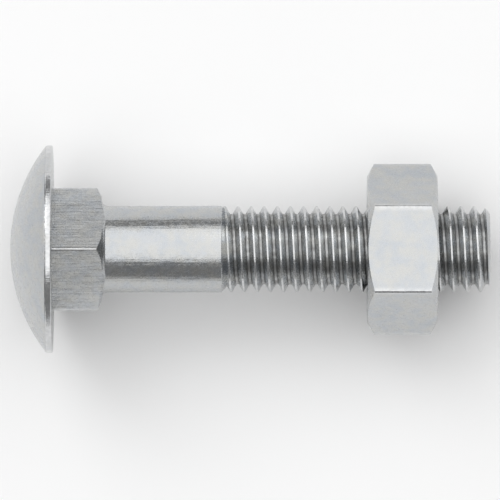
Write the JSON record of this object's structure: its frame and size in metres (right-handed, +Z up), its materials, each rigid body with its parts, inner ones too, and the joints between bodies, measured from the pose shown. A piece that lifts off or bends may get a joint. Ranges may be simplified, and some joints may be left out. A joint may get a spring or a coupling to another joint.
{
  "type": "carriage bolt",
  "caption": "Domed square-neck bolt with a plain shank, a rolled metric thread and a chamfered hex nut, for joining timber.",
  "frame": {"origin": "on the ground, under the middle of the bolt and nut as they lie at rest", "axes": "+X along the bolt from its head to its free end, which dips 4.4 degrees because the head is wider than the nut, +Z up, +Y to the left seen from the head"},
  "size_m": [0.055, 0.0238, 0.0237],
  "materials": {
    "bolt_steel": "bright zinc plate over forged and rolled steel, satin with a faint blue tint",
    "nut_steel": "bright zinc plate over formed and tapped steel, satin with a faint blue tint"
  },
  "bodies": {
    "bolt": {"bolt": "bolt_steel"},
    "nut": {"hex_nut": "nut_steel"}
  },
  "joints": [
    {"name": "nut_travel", "type": "slide", "parent": "bolt", "child": "nut", "axis": [0.9971, 0, -0.0763], "range_m": [-0.015, 0.012]}
  ]
}
